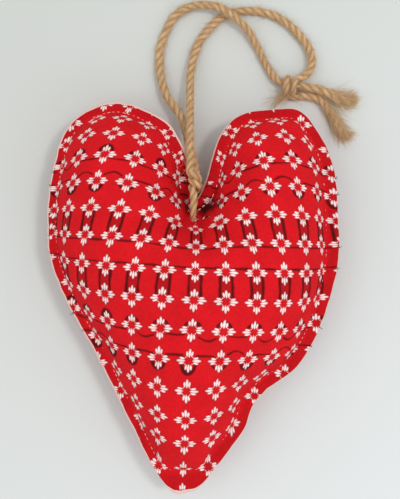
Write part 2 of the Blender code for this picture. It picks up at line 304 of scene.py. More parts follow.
# %% The panel's net
GRID_STEP = 0.0017
CLEFT_GRID_STEP = 0.0009
CLEFT_SPOT = np.array([0.0015, 0.0345])
CLEFT_REACH = 0.013
BORDER_SHARES = (0.35, 0.7)  # rings between the seam and the raw edge
INNER_RINGS = (0.0007, 0.0015, 0.0024, 0.0034)  # rings inside the seam


def hexagonal_grid(step, low, high):
    """Rows of points a step apart, every second row shifted by half a step."""
    across = np.arange(low[0], high[0], step)
    upward = np.arange(low[1], high[1], step * math.sqrt(0.75))
    x = across[None] + (np.arange(len(upward)) % 2)[:, None] * step / 2
    return np.stack([x, np.broadcast_to(upward[:, None], x.shape)], -1).reshape(-1, 2)


def panel_net():
    """The points and triangles of a panel, seen from above. The first points are the raw
    edge and the next the seam."""
    inwards = inward_from(SEAM)
    border = [SEAM + share * (EDGE - SEAM) for share in BORDER_SHARES]
    coarse = hexagonal_grid(GRID_STEP, EDGE.min(0), EDGE.max(0))
    coarse = coarse[np.linalg.norm(coarse - CLEFT_SPOT, axis=1) > CLEFT_REACH]
    fine = hexagonal_grid(CLEFT_GRID_STEP, CLEFT_SPOT - CLEFT_REACH, CLEFT_SPOT + CLEFT_REACH)
    fine = fine[np.linalg.norm(fine - CLEFT_SPOT, axis=1) < CLEFT_REACH]
    grid = np.vstack([coarse, fine])
    grid = grid[inside(grid, SEAM)]
    grid = grid[depth_inside(grid, FINE_SEAM) > INNER_RINGS[-1] + GRID_STEP / 2]
    rings = []
    for offset in INNER_RINGS:
        ring = SEAM + offset * inwards
        ring = ring[inside(ring, SEAM)]
        rings.append(ring[depth_inside(ring, FINE_SEAM) > 0.8 * offset])
    spots = np.vstack([EDGE, SEAM, *border, *rings, grid])
    ring = np.arange(RIM_POINTS)
    seam_edges = np.stack([RIM_POINTS + ring, RIM_POINTS + (ring + 1) % RIM_POINTS], 1)
    net = delaunay_2d_cdt(
        [tuple(p) for p in spots], seam_edges.tolist(), [ring.tolist()], 1, 1e-6
    )
    return np.array([tuple(p) for p in net[0]]), np.array(net[2])


spots, triangles = panel_net()
nearest_seam = np.linalg.norm(spots[:, None] - FINE_SEAM[None], axis=2)
from_seam = nearest_seam.min(1)
seam_place = nearest_seam.argmin(1) / len(FINE_SEAM)
within = inside(spots, SEAM) & (from_seam > 1e-4)
depth = np.where(within, depth_inside(spots, FINE_SEAM), 0)
print("net:", len(spots), "points,", len(triangles), "triangles")


# %% [markdown]
# Cotton hardly stretches, so a printed grid runs over the stuffed form as it would over
# a ball: close rows where the cloth turns away, even rows on top. To know where the
# print goes, the stuffed form is flattened back to the pattern that it was cut from.
# Every edge of the net pushes its two ends apart until the flat length is the length on
# the form. It may end up longer, because cloth can pucker, and hardly shorter, because
# cloth can't stretch. A coarse net is flattened first, which settles the large shape
# fast, and a smooth surface through its moves starts the fine one.

# %% The flat pattern
PUCKER_EASE = 0.3  # how firmly extra length is taken back, against 1 for missing length
COARSE_STEP = 0.005


def edges_of(faces):
    """Every edge of the triangles once."""
    pairs = np.sort(np.vstack([faces[:, [0, 1]], faces[:, [1, 2]], faces[:, [2, 0]]]), 1)
    return np.unique(pairs, axis=0)


def flatten(flat, pairs, length, rounds):
    """Each round, a point moves by 1.6 times the mean of half of what its edges lack."""
    i, j = pairs.T
    count = len(flat)
    share = np.bincount(i, minlength=count) + np.bincount(j, minlength=count)
    for _ in range(rounds):
        along = flat[j] - flat[i]
        now = np.linalg.norm(along, axis=1)
        firm = np.where(now < length, 1.0, PUCKER_EASE)
        move = along * (0.5 * firm * (length / np.maximum(now, 1e-9) - 1))[:, None]
        step = [
            np.bincount(j, move[:, k], count) - np.bincount(i, move[:, k], count) for k in (0, 1)
        ]
        flat = flat + 1.6 * np.stack(step, 1) / share[:, None]
    return flat


def spread(centres, moves, points):
    """A smooth surface through the moves at the centres: a sum of cubed distances plus
    a plane, whose weights come from one linear equation."""
    def cubes(a):
        return np.linalg.norm(a[:, None] - centres[None], axis=2) ** 3

    plane = np.column_stack([np.ones(len(centres)), centres])
    system = np.block([[cubes(centres), plane], [plane.T, np.zeros((3, 3))]])
    weights = np.linalg.solve(system, np.vstack([moves, np.zeros((3, 2))]))
    return cubes(points) @ weights[:-3] + weights[-3] + points @ weights[-2:]


def lengths_on_form(points, height, pairs):
    """The edges' lengths once the points are lifted to their heights."""
    lifted = np.column_stack([points, height])
    return np.linalg.norm(lifted[pairs[:, 0]] - lifted[pairs[:, 1]], axis=1)


def pattern_of(rise):
    """The flat pattern of the panel with that rise, its dimple left out."""
    def height(points, deep):
        return rise * np.where(deep, 1 - np.exp(-depth_inside(points, FINE_SEAM) / SWELL_RUN), 0)

    coarse = hexagonal_grid(COARSE_STEP, EDGE.min(0), EDGE.max(0))
    coarse = coarse[inside(coarse, SEAM)]
    coarse = coarse[depth_inside(coarse, FINE_SEAM) > COARSE_STEP / 3]
    rim = SEAM[::4]
    corners = [tuple(p) for p in np.vstack([rim, coarse])]
    net = delaunay_2d_cdt(corners, [], [list(range(len(rim)))], 1, 1e-6)
    coarse, coarse_pairs = np.array([tuple(p) for p in net[0]]), edges_of(np.array(net[2]))
    deep = depth_inside(coarse, FINE_SEAM) > COARSE_STEP / 5
    length = lengths_on_form(coarse, height(coarse, deep), coarse_pairs)
    moved = flatten(coarse, coarse_pairs, length, 4000)
    flat = spots + spread(coarse, moved - coarse, spots)
    return flatten(flat, edges, lengths_on_form(spots, height(spots, within), edges), 300)


edges = edges_of(triangles)
front_pattern = pattern_of(FRONT_RISE / PEAK)
back_pattern = pattern_of(BACK_SWELL / PEAK)
for name, flat in (("front", front_pattern), ("back", back_pattern)):
    print(name, "pattern, mm:", np.round(1000 * (flat.max(0) - flat.min(0)), 1))


# %% [markdown]
# Now the cloth is filled. Blender's Cloth simulation gets the net on the stuffed form as
# its start and the flat pattern as its rest shape, so that it knows how much cloth there
# is. The seam, its border and the spot under the twine are pinned, the filling pushes as
# a pressure and gravity is off, because the stuffing carries the cloth. Where the flat
# pattern has more cloth than the form, along the seam, it buckles into short puckers.
# The simulation runs at ten times the size, where Blender's settings for garments fit.

# %% Fill the heart
SIM_SCALE = 10
SIM_FRAMES = 20
MOST_MOVE = 0.004
TABLE_CLEAR = 0.00008
PUCKER_DEPTH = 0.0004
PUCKER_REACH = 0.0028


def pucker_waves(place, depth_in):
    """Waves of three lengths along the seam, times depth / reach * exp(1 - depth / reach)."""
    turns = 2 * np.pi * place * SEAM_LENGTH
    wave = np.sin(turns / 0.0047 + 1.3 * np.sin(turns / 0.031))
    wave = wave + 0.8 * np.sin(turns / 0.0083 + 2 * np.sin(turns / 0.053) + 1)
    wave = wave + 0.6 * np.sin(turns / 0.0151 + 4)
    return wave * depth_in / PUCKER_REACH * np.exp(1 - depth_in / PUCKER_REACH)


def fill_cloth(name, front, pattern):
    """The panel's points after the cloth has been filled, in metres."""
    side = 1 if front else -1
    start = np.column_stack([spots, panel_height(spots, front)])
    start[~within, 2] = SEAM_HEIGHT + side * (GAP / 2 + CLOTH)
    depth_in = np.where(within, from_seam, 0)
    start[:, 2] += side * PUCKER_DEPTH * pucker_waves(seam_place, depth_in)
    if not front:
        start[:, 2] = np.maximum(start[:, 2], TABLE_CLEAR)
    faces = triangles if front else triangles[:, ::-1]
    data = bpy.data.meshes.new(name)
    data.from_pydata((SIM_SCALE * start).tolist(), [], faces.tolist())
    cloth = bpy.data.objects.new(name, data)
    scene.collection.objects.link(cloth)
    cloth.shape_key_add(name="on the form")
    rest = cloth.shape_key_add(name="flat pattern")
    rest.data.foreach_set("co", np.column_stack([SIM_SCALE * pattern, 0 * depth_in]).ravel())
    pinned = cloth.vertex_groups.new(name="pinned")
    under_twine = np.linalg.norm(spots - TWINE_HOLE, axis=1) < HOLE_REACH / 2
    pinned.add(np.flatnonzero(~within | under_twine).tolist(), 1, "REPLACE")
    sim = cloth.modifiers.new("cloth", "CLOTH")
    settings = sim.settings
    settings.rest_shape_key = rest
    settings.vertex_group_mass = pinned.name
    settings.quality = 6
    settings.mass = 0.02
    settings.tension_stiffness = settings.compression_stiffness = 12
    settings.shear_stiffness = 4
    settings.bending_stiffness = 0.15
    settings.tension_damping = settings.compression_damping = 8
    settings.air_damping = 3
    settings.use_pressure = True
    settings.uniform_pressure_force = 6
    settings.effector_weights.gravity = 0
    sim.collision_settings.use_collision = False
    for frame_number in range(1, SIM_FRAMES + 1):
        scene.frame_set(frame_number)
    seen = cloth.evaluated_get(bpy.context.evaluated_depsgraph_get())
    move = vertex_array(seen.data) / SIM_SCALE - start
    scene.frame_set(1)
    bpy.data.objects.remove(cloth, do_unlink=True)
    far = np.linalg.norm(move, axis=1)
    print(name, "moved by at most", round(1000 * far.max(), 2), "mm")
    filled = start + move * np.minimum(1, MOST_MOVE / np.maximum(far, 1e-9))[:, None]
    filled[:, 2] = filled[:, 2] if front else np.maximum(filled[:, 2], TABLE_CLEAR)
    return filled


front_filled = fill_cloth("front_cloth", True, front_pattern)
back_filled = fill_cloth("back_cloth", False, back_pattern)


# %% [markdown]
# Where the twine pulls at the cleft, the cloth is drawn into folds that run out from the
# hole like spokes. They are valleys along short curved lines, deepest near the twine.
# The border outside the seam was never pressed, so both of its layers wave up and down
# together, a little more towards the raw edge.

# %% Gathers and the wavy border
GATHERS = [  # the valley's line in mm, its depth and its half width in mm
    ([(1.8, 33.4), (5.0, 33.2), (9.4, 34.8)], 3.8, 1.3),
    ([(4.6, 33.8), (6.6, 36.6), (8.2, 40.6)], 2.8, 1.1),
    ([(8.5, 35.2), (12.0, 37.8), (17.5, 41.4)], 1.0, 1.2),
    ([(-2.2, 33.6), (-3.8, 37.8), (-5.7, 41.8), (-10.8, 44.6)], 2.0, 1.0),
    ([(-3.6, 33.2), (-7.0, 36.4), (-13.5, 40.6)], 1.3, 1.2),
    ([(-2.4, 31.0), (-4.2, 28.0), (-5.0, 24.0)], 0.8, 1.1),
    ([(1.2, 29.6), (2.8, 26.5), (3.0, 22.0)], 0.7, 1.1),
    ([(2.6, 31.8), (7.0, 31.0), (12.0, 31.6)], 0.9, 1.1),
]
BORDER_WAVE = 0.0005
JOINED_REACH = 0.002
BORDER_DROOP = 0.0009


def gather_depth(points):
    """The sum over the valleys of depth * (1 - 0.5 * share along) * exp(-(off / width)
    squared), where off is the distance from the valley's line."""
    total = np.zeros(len(points))
    for line, deep, wide in GATHERS:
        fine = smooth_curve([(x, y, 0) for x, y in line])[::4, :2] / 1000
        apart = np.linalg.norm(points[:, None] - fine[None], axis=2)
        along = apart.argmin(1) / (len(fine) - 1)
        off = apart.min(1) * 1000 / wide
        total += deep / 1000 * (1 - 0.5 * along) * np.exp(-(off**2))
    return total


def border_wave(place, share):
    """A slow wave along the edge, times the share of the way from seam to raw edge."""
    turns = 2 * np.pi * place * SEAM_LENGTH
    wave = np.sin(turns / 0.0092 + 1.7 * np.sin(turns / 0.043))
    wave = wave + 0.7 * np.sin(turns / 0.0231 + 2) + 0.45 * np.sin(turns / 0.0052 + 1)
    return BORDER_WAVE * wave * share


border_share = np.where(within, 0, from_seam / np.interp(
    seam_place, np.arange(RIM_POINTS) / RIM_POINTS, np.linalg.norm(EDGE - SEAM, axis=1)))
border_share = np.clip(border_share, 0, 1)
gathered = gather_depth(spots)
joined = np.where(within, np.exp(-((from_seam / JOINED_REACH) ** 2)), 1)  # both layers move
border_lift = border_wave(seam_place, border_share) - gathered * joined
border_lift = border_lift - BORDER_DROOP * border_share**2
front_filled[:, 2] += border_lift - gathered * (1 - joined)
back_filled[:, 2] += border_lift + 0.5 * gathered * (1 - joined)
# the back layer was cut a little larger on the left, so its reverse shows as a pale line
from_left = 1 / (1 + np.exp((spots[:, 0] - 0.004) / 0.006))
grown = border_share * (0.04 + 0.14 * from_left)
nearest = FINE_SEAM[nearest_seam.argmin(1)]
back_filled[:, :2] += (spots - nearest) * grown[:, None]
# painted shade: the cloth's colour is darkened where the gathered folds are deepest
crease_shade = 0.9 * np.clip(gathered / 0.0024, 0, 1) ** 1.5


# %% [markdown]
# The print is a traditional Nordic embroidery grid: four-petalled flowers whose petals
# are three satin stitches each, with dark outline threads that wander between the rows.
# It is drawn by arithmetic on the flat pattern's coordinates, counted in flowers: the
# nearest flower gives each point its own small coordinates, and a petal is where a few
# of their differences are below zero. The cloth's own drape then carries the print. At
# the cleft more cloth is gathered than the net has, so the print is moved outwards there.

# %% Where the print lies
FLOWER_PITCH = 0.01108
PRINT_TURN = math.radians(2.68)
PRINT_SHIFT = (-0.025, -1.43)  # in flowers


def print_place(pattern):
    """Flat pattern points in flowers: turned, divided by the pitch and shifted, then
    spread out above the middle, where more cloth is gathered than the net has. Small
    smooth corrections follow, because a real filling isn't as even as the form."""
    c, s = math.cos(PRINT_TURN), math.sin(PRINT_TURN)
    u = (c * pattern[:, 0] - s * pattern[:, 1]) / FLOWER_PITCH + PRINT_SHIFT[0]
    v = (s * pattern[:, 0] + c * pattern[:, 1]) / FLOWER_PITCH + PRINT_SHIFT[1]
    sharp = 0.5 + 2.5 * np.exp(-1.2 * np.maximum(v, 0))
    u = u + 0.155 * np.maximum(v + 1, 0) * np.tanh(u / sharp)
    v = v + 0.115 * np.maximum(v - 0.5, 0)
    # the cloth bunches on both sides of the cleft
    beside = spots[:, 0] - CLEFT_SPOT[0]
    level = np.interp(spots[:, 1], [0.031, 0.041, 0.046, 0.053], [0, 1, 1, 0])
    pulled = level * np.where(beside < 0, 1.4, 0.9)
    u = u + pulled * np.tanh(beside / 0.003) * np.exp(-((beside / 0.007) ** 2))
    wide, high = u / 6, (v + 1) / 6
    u = u - 0.27 * wide**5 + 0.2 * wide * high
    middle = np.exp(-(((v + 3.2) / 2.6) ** 2) - (u / 4) ** 2)
    tip = 0.42 / (1 + np.exp((v + 7.3) / 0.2)) - 0.15 * np.exp(-(((v + 6.2) / 0.7) ** 2))
    low = np.exp(-((u / 3.5) ** 2)) / (1 + np.exp((v + 0.6) / 0.3))
    u = u + 0.1 * low / (1 + np.exp((v + 3) / 0.5))
    return np.stack([u, v - 0.2 * wide * high - 0.16 * middle - 0.08 * low + tip], 1)


front_print = print_place(front_pattern)
back_print = print_place(back_pattern) * [-1, 1] + [0.4, 0.3]
print("flowers across the front:", round(float(np.ptp(front_print[:, 0])), 1))


# %% Printed cotton
SETTLED = 0.012  # the print's soft edge, in flowers


# one step to a line: its name, the operation and what goes in
PRINT_STEPS = """
# the nearest flower, and the place from its middle
column ROUND u
across SUBTRACT u column
w ABSOLUTE v
half SUBTRACT w 0.5
rank ROUND half
away SUBTRACT half rank
a ABSOLUTE across
b ABSOLUTE away
long MAXIMUM a b
short MINIMUM a b
# a petal: a long stitch in the middle and one on each side, fanned out a little
fan MULTIPLY_ADD long 1.7 0.58
fanned DIVIDE short fan
beside SUBTRACT fanned 0.083
mid SPINDLE fanned long 0.250 0.037 0.127
outer SPINDLE beside long 0.218 0.035 0.080
petal MINIMUM mid outer
# a fleck at each corner of the red middle
corner_a SUBTRACT a 0.112
corner_b SUBTRACT b 0.112
fleck SPINDLE corner_a corner_b 0 0.015 0.015
white MINIMUM petal fleck
outline SUBTRACT white 0.016
# which rows have which dark threads
first LESS_THAN rank 0.5
second COMPARE rank 2 0.4
third COMPARE rank 3 0.4
first_or_second ADD first second
lined ADD first_or_second third
capped ADD second third
turned MULTIPLY_ADD second -2 1
t MULTIPLY away turned
# the thread between the flowers of a row, with a swag now and then
gap_place FRACT u
gap_turn MULTIPLY gap_place 3.14159265
gap_hump SINE gap_turn
gap_hump_2 MULTIPLY gap_hump gap_hump
swag GREATER_THAN gap_luck 0.62
swag_here MULTIPLY swag capped
swag_deep MULTIPLY_ADD swag_here 0.17 0.02
sag MULTIPLY_ADD gap_hump_2 swag_deep 0.118
line_off ADD t sag
line_off_2 MULTIPLY_ADD capped 0.03 line_off
line_size ABSOLUTE line_off_2
line_beside SUBTRACT 0.2 a
line_near SUBTRACT line_size thread
line_row SUBTRACT 0.5 lined
line_1 MAXIMUM line_near line_beside
line MAXIMUM line_1 line_row
# the arch over one petal, higher or lower from flower to flower
arch_high MULTIPLY_ADD flower_luck 0.2 0.1
arch_up SUBTRACT t 0.13
arch_body SPINDLE across arch_up 0 0.21 arch_high
arch_off_size ABSOLUTE arch_body
arch_thread ADD thick_thread 0.008
arch_near SUBTRACT arch_off_size arch_thread
arch_below MULTIPLY arch_up -1
arch_row SUBTRACT 0.5 capped
arch_3 MAXIMUM arch_near arch_below
arch MAXIMUM arch_3 arch_row
# the two upright threads from a flower in the first row to one in the second
post_off SUBTRACT a 0.2
post_off_size ABSOLUTE post_off
post_near SUBTRACT post_off_size thick_thread
post_middle SUBTRACT w 1
post_middle_size ABSOLUTE post_middle
post_end SUBTRACT post_middle_size 0.37
post MAXIMUM post_near post_end
between SUBTRACT a 0.2
between_posts MAXIMUM between post_end
arch_or_post MINIMUM arch post
"""


def printed_cotton(name, ground):
    """Cotton plain weave, printed: a red ground, cream petals and dark brown threads.
    Cotton scatters light at its fibre ends, so it is rough and hardly shines."""
    made, tree, shader = new_material(name, 0.86, 0.12)
    place = add_node(tree, "UVMap", uv_map="UVMap").outputs[0]
    wobble = add_node(tree, "TexNoise", {"Vector": place, "Scale": 2.3, "Detail": 3})
    shifted = add_node(tree, "VectorMath", [wobble.outputs["Color"], (-0.5,) * 3])
    shifted = add_node(
        tree, "VectorMath", [shifted.outputs[0], (0.075, 0.075, 0), place],
        operation="MULTIPLY_ADD",
    ).outputs[0]
    parts = add_node(tree, "SeparateXYZ", [shifted])
    values = {"u": parts.outputs[0], "v": parts.outputs[1]}

    def luck(inputs):
        """A random number for each whole flower or gap."""
        cell = add_node(tree, "CombineXYZ", inputs)
        return add_node(
            tree, "TexWhiteNoise", [cell.outputs[0]], noise_dimensions="3D"
        ).outputs[0]

    def step(operation, *inputs):
        given = [values.get(x, x) if isinstance(x, str) else x for x in inputs]
        return add_node(tree, "Math", given, operation=operation).outputs[0]

    def spindle(across, along, middle, half_width, half_length):
        """An ellipse: half_width * (root of ((across / half_width) squared + ((along -
        middle) / half_length) squared) - 1), which is below zero inside it."""
        x = step("DIVIDE", across, half_width)
        y = step("DIVIDE", step("SUBTRACT", along, middle), half_length)
        r = step("SQRT", step("MULTIPLY_ADD", x, x, step("MULTIPLY", y, y)))
        return step("MULTIPLY_ADD", r, half_width, -half_width)

    uneven = add_node(tree, "TexNoise", {"Vector": place, "Scale": 1.7, "Detail": 1})
    values["thread"] = step("MULTIPLY_ADD", uneven.outputs["Fac"], 0.064, 0.005)
    values["thick_thread"] = step("ADD", values["thread"], 0.008)
    row = step("FLOOR", "v")
    values["gap_luck"] = luck([step("FLOOR", "u"), row, 5])
    values["flower_luck"] = luck([step("ROUND", "u"), row, 9])
    for line in PRINT_STEPS.split("\n"):
        if line and line[0] != "#":
            key, operation, *words = line.split()
            inputs = [w if w[0].isalpha() else float(w) for w in words]
            values[key] = spindle(*inputs) if operation == "SPINDLE" else step(operation, *inputs)

    def mask(key, soft, least=1.0):
        """From 1 well inside a shape to 0 outside it."""
        return add_node(
            tree, "MapRange",
            {"Value": values[key], "From Min": -soft, "From Max": soft, "To Min": least,
             "To Max": 0},
            interpolation_type="SMOOTHSTEP",
        ).outputs[0]

    def tint(noise_scale, detail, stretch, low, high):
        """A factor between low and high that wanders over the cloth."""
        scaled = add_node(tree, "VectorMath", [place, stretch], operation="MULTIPLY").outputs[0]
        noise = add_node(
            tree, "TexNoise",
            {"Vector": scaled, "Scale": noise_scale, "Detail": detail},
        ).outputs["Fac"]
        return add_node(
            tree, "MapRange",
            {"Value": noise, "From Min": 0.3, "From Max": 0.7, "To Min": low, "To Max": high},
        ).outputs[0]

    painted_crease_shade = add_node(tree, "Attribute", attribute_name="painted_crease_shade").outputs["Fac"]
    painted_border_shade = add_node(tree, "Attribute", attribute_name="painted_border_shade").outputs["Fac"]
    colour = linear(ground)
    for share, over in (
        # painted shade: the border outside the seam is darker red, where the stuffed swell shades
        # it
        (painted_border_shade, "BC0D16"),
        (mask("between_posts", 0.03, 0.6), "A30C12"),
        (mask("line", 0.032, 0.8), "3A0A0A"),
        (mask("arch_or_post", 0.036, 0.88), "3A0A0A"),
        (mask("outline", 0.02, 0.4), "6E0A10"),
        (mask("white", SETTLED, 0.97), "FFE5E4"),
        # painted shade in the gathered folds at the cleft
        (painted_crease_shade, "2A0506"),
    ):
        colour = add_node(
            tree, "Mix", {0: share, 6: colour, 7: linear(over)}, data_type="RGBA"
        ).outputs[2]
    # the threads of the weave run along u and v; 0.35 mm apart on the real cotton, and
    # drawn 0.5 mm apart so that they show
    threads = 2 * math.pi * FLOWER_PITCH / 0.0005 / 2
    both = step("MULTIPLY", step("SINE", step("MULTIPLY", "u", threads)),
                step("SINE", step("MULTIPLY", "v", threads)))
    shade = step("MULTIPLY", tint(1.1, 2, (1, 1, 1), 0.9, 1.06), tint(9, 3, (1, 1, 1), 0.9, 1.07))
    shade = step("MULTIPLY", shade, step("MULTIPLY_ADD", both, 0.05, 1.0))
    shaded = add_node(tree, "VectorMath", [colour], operation="SCALE")
    tree.links.new(shade, shaded.inputs["Scale"])
    tree.links.new(shaded.outputs[0], shader.inputs["Base Color"])
    fuzz = add_node(tree, "TexNoise", {"Vector": place, "Scale": 45, "Detail": 2})
    height = step("MULTIPLY_ADD", fuzz.outputs["Fac"], 0.8, both)
    bump = add_node(tree, "Bump", {"Strength": 0.35, "Distance": 0.00008, "Height": height})
    tree.links.new(bump.outputs[0], shader.inputs["Normal"])
    return made


front_cotton = printed_cotton("printed plain-weave cotton", "DA141E")
back_cotton = printed_cotton("printed plain-weave cotton, back", "D5141D")
cotton_reverse = new_material("reverse of the printed cotton", 0.95, colour="F4C8C0")[0]


# %% The two cloths
def add_cloth(name, front, filled, printed, finish, node):
    """A filled panel with its print, smoothed once and given the cloth's thickness."""
    faces = triangles if front else triangles[:, ::-1]
    made = put_mesh(name, filled, faces, finish, "printed_cotton", uv=printed[faces.ravel()])
    made.data.materials.append(cotton_reverse)
    paint(made, "painted_crease_shade", crease_shade)
    # painted shade on the border, full from a third of the way out towards the raw edge
    paint(made, "painted_border_shade", 0.75 * np.clip(border_share * 3, 0, 1))
    smoother = made.modifiers.new("one subdivision", "SUBSURF")
    smoother.levels = smoother.render_levels = 1
    wall = made.modifiers.new("cloth's thickness", "SOLIDIFY")
    wall.thickness = CLOTH
    wall.offset = -1
    wall.material_offset = wall.material_offset_rim = 1
    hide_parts(node)


add_cloth("front_cloth", True, front_filled, front_print, front_cotton, "front_panel")
add_cloth("back_cloth", False, back_filled, back_print, back_cotton, "back_panel")


# %% [markdown]
# The seam is a machine lockstitch in pale thread, about 1.9 mm to a stitch. Each stitch
# is a short grain, round in the middle and sunk at its ends, that follows the seam.

# %% Stitches
STITCH_PITCH = 0.00192
STITCH_HALF = (0.00070, 0.00028, 0.00023)
FOLDED_STITCHES = 0.0095


def grain(rings=6, sides=6):
    """An ellipsoid's points and faces, its poles along X: x = cos, radius = sin."""
    lift = np.linspace(0, np.pi, rings + 1)[1:-1]
    turn = np.linspace(0, 2 * np.pi, sides, endpoint=False)
    body = np.stack([
        np.cos(lift)[:, None] * np.ones(sides),
        np.sin(lift)[:, None] * np.cos(turn),
        np.sin(lift)[:, None] * np.sin(turn),
    ], -1).reshape(-1, 3)
    points = np.vstack([[(1, 0, 0)], body, [(-1, 0, 0)]])
    faces = []
    for k in range(sides):
        n = (k + 1) % sides
        faces.append((0, 1 + n, 1 + k))
        for r in range(rings - 2):
            a, b = 1 + r * sides, 1 + (r + 1) * sides
            faces.append((a + k, a + n, b + n, b + k))
        last = 1 + (rings - 2) * sides
        faces.append((last + k, last + n, len(points) - 1))
    return points, faces


def many(points, faces, count):
    """The same faces for that many copies of the points."""
    return [tuple(c * points + i for i in f) for c in range(count) for f in faces]


def add_stitches(name, front):
    """One grain to each stitch, laid along the seam and just into the cloth."""
    count = round(SEAM_LENGTH / STITCH_PITCH)
    luck = np.random.default_rng(11 if front else 12)
    place = evenly(FINE_SEAM, 2 * count, closed=True)
    middle, ahead = place[::2], place[1::2] - place[::2]
    turn = np.arctan2(ahead[:, 1], ahead[:, 0]) + luck.normal(0, 0.08, count)
    shape, faces = grain()
    shape = shape * STITCH_HALF * (1 + luck.normal(0, 0.1, (count, 1, 3)))
    if front:  # the folds at the cleft close over the stitches
        seen = np.linalg.norm(middle - CLEFT_SPOT, axis=1) > FOLDED_STITCHES
        middle, turn, shape = middle[seen], turn[seen], shape[seen]
        count = len(middle)
    c, s = np.cos(turn)[:, None], np.sin(turn)[:, None]
    x = middle[:, :1] + c * shape[..., 0] - s * shape[..., 1]
    y = middle[:, 1:] + s * shape[..., 0] + c * shape[..., 1]
    side = 1 if front else -1
    z = SEAM_HEIGHT + side * (GAP / 2 + CLOTH + 0.00006) + shape[..., 2]
    points = np.stack([x, y, z], -1).reshape(-1, 3)
    put_mesh(name, points, many(len(shape[0]), faces, count), thread, "printed_cotton")
    print(name, count)


thread = new_material("pale cotton sewing thread", 0.7, colour="EDBBB4")[0]
add_stitches("front_stitches", True)
add_stitches("back_stitches", False)


# %% [markdown]
# The twine is jute, three plies twisted together, about 3.2 mm thick. It is one length:
# from the hole in the front, over the cleft and once around its other leg, round the
# loop to the knot and out as a tail. The other leg does the same from the back. Each of
# the two is a route through listed points, because the twine lies as it fell.

# %% The twine's routes
TWINE = 0.0032
LEG_START = 0.0008
HITCH_FOOT = (0.0010, 0.0406, 0.0226)
HITCH_HEAD = (0.0003, 0.0465, 0.0244)
HITCH_ANGLE = 135
HITCH_TIGHT = 0.84
HITCH_OPEN = 1.19
BACK_LEG_JOINS = 0.25
KNOT_CENTRE = np.array([0.0385, 0.0834, 0.0039])

FRONT_LEG = [(-0.2, 31.4, 25.0), (0.0, 33.7, 25.7), (0.1, 37.0, 25.0)]
BACK_LEG = [
    (-0.2, 31.2, 13.5), (0.2, 34.0, 12.5), (0.9, 37.2, 13.0), (1.6, 40.3, 14.8),
    (1.9, 41.9, 17.4), (1.9, 41.9, 19.8), (2.3, 41.8, 21.9),
]
RIGHT_STRAND = [
    (-1.2, 51.9, 22.0), (-1.4, 57.2, 18.8), (-1.5, 64.2, 14.8), (-1.5, 72.7, 10.8),
    (-1.5, 80.3, 7.6), (-1.3, 88.0, 5.0), (0.0, 95.2, 3.2), (2.4, 101.9, 2.1),
    (6.8, 107.6, 1.7), (10.8, 111.3, 1.65), (15.3, 113.4, 1.65), (22.9, 114.1, 1.7),
    (31.1, 112.5, 1.8), (38.3, 108.2, 1.9), (43.4, 103.0, 2.0), (46.4, 97.8, 2.4),
    (47.2, 93.2, 3.2), (45.8, 88.9, 4.4),
]
LEFT_STRAND = [
    (-0.3, 52.3, 18.2), (-1.3, 57.3, 14.6), (-2.7, 62.8, 11.4), (-4.0, 68.1, 9.0),
    (-6.7, 73.3, 7.0), (-10.5, 78.8, 5.2), (-13.0, 86.0, 3.4), (-13.8, 92.7, 2.2),
    (-13.4, 99.2, 1.7), (-11.9, 104.2, 1.7), (-7.2, 112.3, 2.0), (-1.2, 115.4, 2.9),
    (5.4, 115.6, 4.3), (10.0, 114.5, 5.1), (14.0, 112.1, 5.4), (17.6, 109.5, 4.8),
    (21.8, 105.5, 3.4), (25.4, 99.4, 2.2), (29.0, 92.3, 1.9), (32.3, 87.2, 2.2),
    (35.6, 84.4, 3.4),
]
WRAPS = [  # the right strand's turns round the left one, in the knot
    (42.8, 86.5, 5.4), (40.6, 86.0, 5.6), (39.6, 83.6, 6.5), (39.3, 81.1, 5.2),
    (39.0, 80.7, 3.5), (38.7, 82.0, 1.7), (38.3, 84.2, 1.4), (37.6, 86.2, 2.9),
    (37.1, 86.0, 5.1), (36.8, 83.7, 6.4), (36.7, 81.2, 5.2), (36.9, 80.5, 3.3),
    (38.0, 80.0, 1.9), (40.2, 79.6, 1.5),
]
KNOT_CORE = [(38.6, 83.5, 3.9), (42.0, 83.7, 3.9)]
UPPER_TAIL = [
    (44.4, 83.2, 3.9), (47.2, 82.6, 3.9), (50.4, 81.8, 3.9), (53.7, 80.5, 3.5),
    (57.0, 79.2, 2.8), (61.0, 78.4, 2.2), (65.0, 78.1, 1.9),
]
LOWER_TAIL = [
    (42.8, 80.0, 1.7), (45.8, 79.7, 1.8), (48.9, 79.2, 1.9), (51.5, 77.3, 1.9),
    (54.0, 74.1, 1.9), (56.4, 70.4, 1.9), (58.3, 67.0, 1.9), (60.4, 64.4, 1.9),
    (63.0, 63.2, 1.9),
]


def leg_start(front):
    """Inside the heart, just off its panel at the hole, and further out along the
    panel's normal there."""
    step = TWINE / 8
    at, east, north = panel_height(TWINE_HOLE + np.array([(0, 0), (step, 0), (0, step)]), front)
    normal = np.array([at - east, at - north, step]) * (1 if front else -1)
    normal /= np.linalg.norm(normal)
    off = np.array([[-TWINE], [LEG_START], [LEG_START + TWINE / 3]])
    return np.array([*TWINE_HOLE, at]) + normal * off


def hitch_turn(angle, first=0.0):
    """A full turn around the hitch's axis, at radius * (tight + (open - tight) * (2 *
    share - 1) squared)."""
    share = np.linspace(first, 1, 9)
    angle = math.radians(angle) + 2 * math.pi * share
    off = TWINE / 2 * (HITCH_TIGHT + (HITCH_OPEN - HITCH_TIGHT) * (2 * share - 1) ** 2)
    foot, head = np.array(HITCH_FOOT), np.array(HITCH_HEAD)
    axis = foot + (head - foot) * share[:, None]
    return axis + np.stack([off * np.cos(angle), np.zeros(len(off)), off * np.sin(angle)], 1)


def route(*stretches):
    """One smooth route in metres through stretches in millimetres or arrays in metres."""
    points = [s if isinstance(s, np.ndarray) else np.array(s) / 1000 for s in stretches]
    return smooth_curve(np.vstack(points))


right_route = route(
    leg_start(True), FRONT_LEG, hitch_turn(HITCH_ANGLE), RIGHT_STRAND, WRAPS, LOWER_TAIL
)
